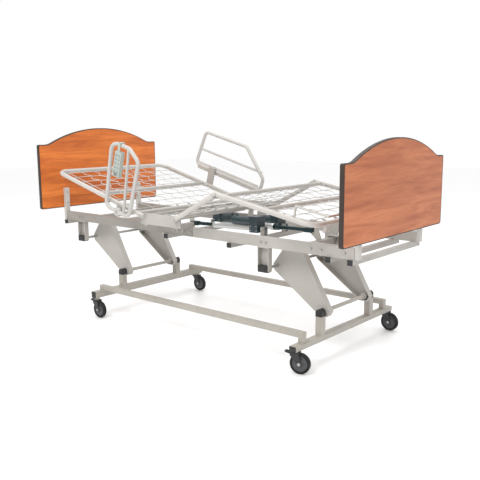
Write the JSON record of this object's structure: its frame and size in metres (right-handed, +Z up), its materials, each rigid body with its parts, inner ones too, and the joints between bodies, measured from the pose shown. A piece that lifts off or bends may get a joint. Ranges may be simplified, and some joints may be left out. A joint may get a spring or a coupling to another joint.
{
  "type": "adjustable care bed",
  "caption": "Electric care bed with arched wooden end boards, swivel casters, linkage lift, raising head and knee sections, wire sleep surface and side assist rails.",
  "frame": {"origin": "on the floor, under the centre of the outer box", "axes": "+Z up, +X towards the foot end, +Y towards the side with the long guard rail"},
  "size_m": [2.2, 0.969, 1.1147],
  "materials": {
    "frame_paint": "satin powder coat, warm light grey",
    "wire_paint": "satin powder coat, warm light grey",
    "board_wood": "cherry laminate, satin",
    "board_edge": "dark brown edge band",
    "black_plastic": "moulded matte",
    "wheel_rubber": "matte rubber tread",
    "motor_plastic": "moulded, dark green grey",
    "pendant_plastic": "moulded, pale green grey",
    "zinc_steel": "zinc plated"
  },
  "bodies": {
    "base": {"base_head_tube": "frame_paint", "base_foot_tube": "frame_paint", "base_side_tubes": "frame_paint", "base_uprights": "frame_paint", "pivot_caps": "black_plastic"},
    "caster_head_left": {"caster_fork_head_left": "zinc_steel"},
    "wheel_head_left": {"caster_wheel_head_left": "wheel_rubber"},
    "pedal_head_left": {"brake_pedal_head_left": "black_plastic"},
    "caster_head_right": {"caster_fork_head_right": "zinc_steel"},
    "wheel_head_right": {"caster_wheel_head_right": "wheel_rubber"},
    "pedal_head_right": {"brake_pedal_head_right": "black_plastic"},
    "caster_foot_left": {"caster_fork_foot_left": "zinc_steel"},
    "wheel_foot_left": {"caster_wheel_foot_left": "wheel_rubber"},
    "pedal_foot_left": {"brake_pedal_foot_left": "black_plastic"},
    "caster_foot_right": {"caster_fork_foot_right": "zinc_steel"},
    "wheel_foot_right": {"caster_wheel_foot_right": "wheel_rubber"},
    "pedal_foot_right": {"brake_pedal_foot_right": "black_plastic"},
    "head_arm": {"head_lift_arms": "frame_paint", "head_lower_shaft": "zinc_steel", "head_upper_shaft": "zinc_steel", "head_tie_tube": "frame_paint"},
    "foot_arm": {"foot_lift_arms": "frame_paint", "foot_lower_shaft": "zinc_steel", "foot_upper_shaft": "zinc_steel", "foot_tie_tube": "frame_paint", "lift_lever": "frame_paint"},
    "head_section": {"head_frame": "frame_paint", "head_springs": "wire_paint", "assist_brackets": "frame_paint"},
    "thigh_section": {"thigh_frame": "frame_paint", "thigh_springs": "wire_paint"},
    "foot_section": {"foot_frame": "frame_paint", "foot_springs": "wire_paint", "mattress_retainer": "frame_paint"},
    "guard": {"guard_rail": "frame_paint"},
    "grip": {"grip_rail": "frame_paint", "pendant": "pendant_plastic"},
    "lift_case": {"lift_actuator": "motor_plastic"},
    "lift_ram": {"lift_rod": "zinc_steel"},
    "back_case": {"back_actuator": "motor_plastic"},
    "back_ram": {"back_rod": "zinc_steel"},
    "knee_case": {"knee_actuator": "motor_plastic"},
    "knee_ram": {"knee_rod": "zinc_steel"},
    "deck": {"head_rails": "frame_paint", "foot_rails": "frame_paint", "rail_sleeves": "frame_paint", "cross_tubes": "frame_paint", "tube_plugs": "black_plastic", "shaft_hangers": "frame_paint", "shaft_bearings": "black_plastic", "board_posts": "frame_paint", "footboard_brackets": "frame_paint", "headboard": "board_wood", "footboard": "board_wood", "board_edges": "board_edge", "actuator_brackets": "frame_paint", "control_box": "motor_plastic", "seat_frame": "frame_paint", "seat_springs": "wire_paint", "hinge_pins": "zinc_steel"}
  },
  "joints": [
    {"name": "swivel_head_left", "type": "hinge", "parent": "base", "child": "caster_head_left", "pos_m": [-0.62492, -0.43, 0.107], "axis": [0, 0, 1], "continuous": true},
    {"name": "wheel_head_left", "type": "hinge", "parent": "caster_head_left", "child": "wheel_head_left", "pos_m": [-0.60292, -0.43, 0.05], "axis": [0, 1, 0], "continuous": true},
    {"name": "pedal_head_left", "type": "hinge", "parent": "caster_head_left", "child": "pedal_head_left", "pos_m": [-0.64092, -0.43, 0.094], "axis": [0, -1, 0], "range_deg": [0, 18]},
    {"name": "swivel_head_right", "type": "hinge", "parent": "base", "child": "caster_head_right", "pos_m": [-0.62492, 0.43, 0.107], "axis": [0, 0, 1], "continuous": true},
    {"name": "wheel_head_right", "type": "hinge", "parent": "caster_head_right", "child": "wheel_head_right", "pos_m": [-0.60292, 0.43, 0.05], "axis": [0, 1, 0], "continuous": true},
    {"name": "pedal_head_right", "type": "hinge", "parent": "caster_head_right", "child": "pedal_head_right", "pos_m": [-0.64092, 0.43, 0.094], "axis": [0, -1, 0], "range_deg": [0, 18]},
    {"name": "swivel_foot_left", "type": "hinge", "parent": "base", "child": "caster_foot_left", "pos_m": [0.83108, -0.43, 0.107], "axis": [0, 0, 1], "continuous": true},
    {"name": "wheel_foot_left", "type": "hinge", "parent": "caster_foot_left", "child": "wheel_foot_left", "pos_m": [0.85233, -0.42431, 0.05], "axis": [-0.2588, 0.9659, 0], "continuous": true},
    {"name": "pedal_foot_left", "type": "hinge", "parent": "caster_foot_left", "child": "pedal_foot_left", "pos_m": [0.81563, -0.43414, 0.094], "axis": [0.2588, -0.9659, 0], "range_deg": [0, 18]},
    {"name": "swivel_foot_right", "type": "hinge", "parent": "base", "child": "caster_foot_right", "pos_m": [0.83108, 0.43, 0.107], "axis": [0, 0, 1], "continuous": true},
    {"name": "wheel_foot_right", "type": "hinge", "parent": "caster_foot_right", "child": "wheel_foot_right", "pos_m": [0.85308, 0.43, 0.05], "axis": [0, 1, 0], "continuous": true},
    {"name": "pedal_foot_right", "type": "hinge", "parent": "caster_foot_right", "child": "pedal_foot_right", "pos_m": [0.81508, 0.43, 0.094], "axis": [0, -1, 0], "range_deg": [0, 18]},
    {"name": "lift", "type": "hinge", "parent": "base", "child": "head_arm", "pos_m": [-0.62492, 0, 0.244], "axis": [0, 1, 0], "range_deg": [-44.4, 35.6]},
    {"name": "foot_lift", "type": "hinge", "parent": "base", "child": "foot_arm", "pos_m": [0.83108, 0, 0.244], "axis": [0, 1, 0], "range_deg": [-44.4, 35.6]},
    {"name": "deck_level", "type": "hinge", "parent": "head_arm", "child": "deck", "pos_m": [-0.901, 0, 0.43375], "axis": [0, 1, 0], "range_deg": [-35.6, 44.4]},
    {"name": "back_raise", "type": "hinge", "parent": "deck", "child": "head_section", "pos_m": [-0.2, 0, 0.64875], "axis": [0, 1, 0], "range_deg": [-15.3, 49.7]},
    {"name": "knee_raise", "type": "hinge", "parent": "deck", "child": "thigh_section", "pos_m": [0.06, 0, 0.64875], "axis": [0, -1, 0], "range_deg": [-27.5, 7.5]},
    {"name": "foot_bend", "type": "hinge", "parent": "thigh_section", "child": "foot_section", "pos_m": [0.34828, 0, 0.79881], "axis": [0, -1, 0], "range_deg": [-10.5, 38.1]},
    {"name": "guard_swing", "type": "hinge", "parent": "head_section", "child": "guard", "pos_m": [-0.49271, 0.47, 0.82939], "axis": [0, 1, 0], "range_deg": [0, 90]},
    {"name": "grip_swing", "type": "hinge", "parent": "head_section", "child": "grip", "pos_m": [-0.35742, -0.47, 0.66071], "axis": [0, -1, 0], "range_deg": [0, 90]},
    {"name": "lift_tilt", "type": "hinge", "parent": "deck", "child": "lift_case", "pos_m": [-0.126, 0.07, 0.56975], "axis": [0, -1, 0], "range_deg": [-0.65, 0.8]},
    {"name": "lift_stroke", "type": "slide", "parent": "lift_case", "child": "lift_ram", "axis": [0.9999, 0, 0.0143], "range_m": [-0.12922, 0.10371]},
    {"name": "back_tilt", "type": "hinge", "parent": "deck", "child": "back_case", "pos_m": [0.337, -0.04, 0.57975], "axis": [0, -1, 0], "range_deg": [-2.26, 0.73]},
    {"name": "back_stroke", "type": "slide", "parent": "back_case", "child": "back_ram", "axis": [-0.9995, 0, -0.03], "range_m": [-0.02299, 0.07356]},
    {"name": "knee_tilt", "type": "hinge", "parent": "deck", "child": "knee_case", "pos_m": [0.337, 0.15, 0.57475], "axis": [0, -1, 0], "range_deg": [-0.95, 0.3]},
    {"name": "knee_stroke", "type": "slide", "parent": "knee_case", "child": "knee_ram", "axis": [-0.9958, 0, -0.0919], "range_m": [-0.01356, 0.04838]}
  ],
  "couplings": [
    {"joint": "foot_lift", "follows": "lift", "ratio": 1},
    {"joint": "deck_level", "follows": "lift", "ratio": -1},
    {"joint": "foot_bend", "follows": "knee_raise", "ratio": -1.3818},
    {"joint": "lift_tilt", "follows": "lift", "ratio": -0.016842},
    {"joint": "lift_stroke", "follows": "lift", "m_per_rad": 0.1661},
    {"joint": "back_tilt", "follows": "back_raise", "ratio": -0.044406},
    {"joint": "back_stroke", "follows": "back_raise", "m_per_rad": 0.084223},
    {"joint": "knee_tilt", "follows": "knee_raise", "ratio": 0.032812},
    {"joint": "knee_stroke", "follows": "knee_raise", "m_per_rad": -0.099753}
  ]
}
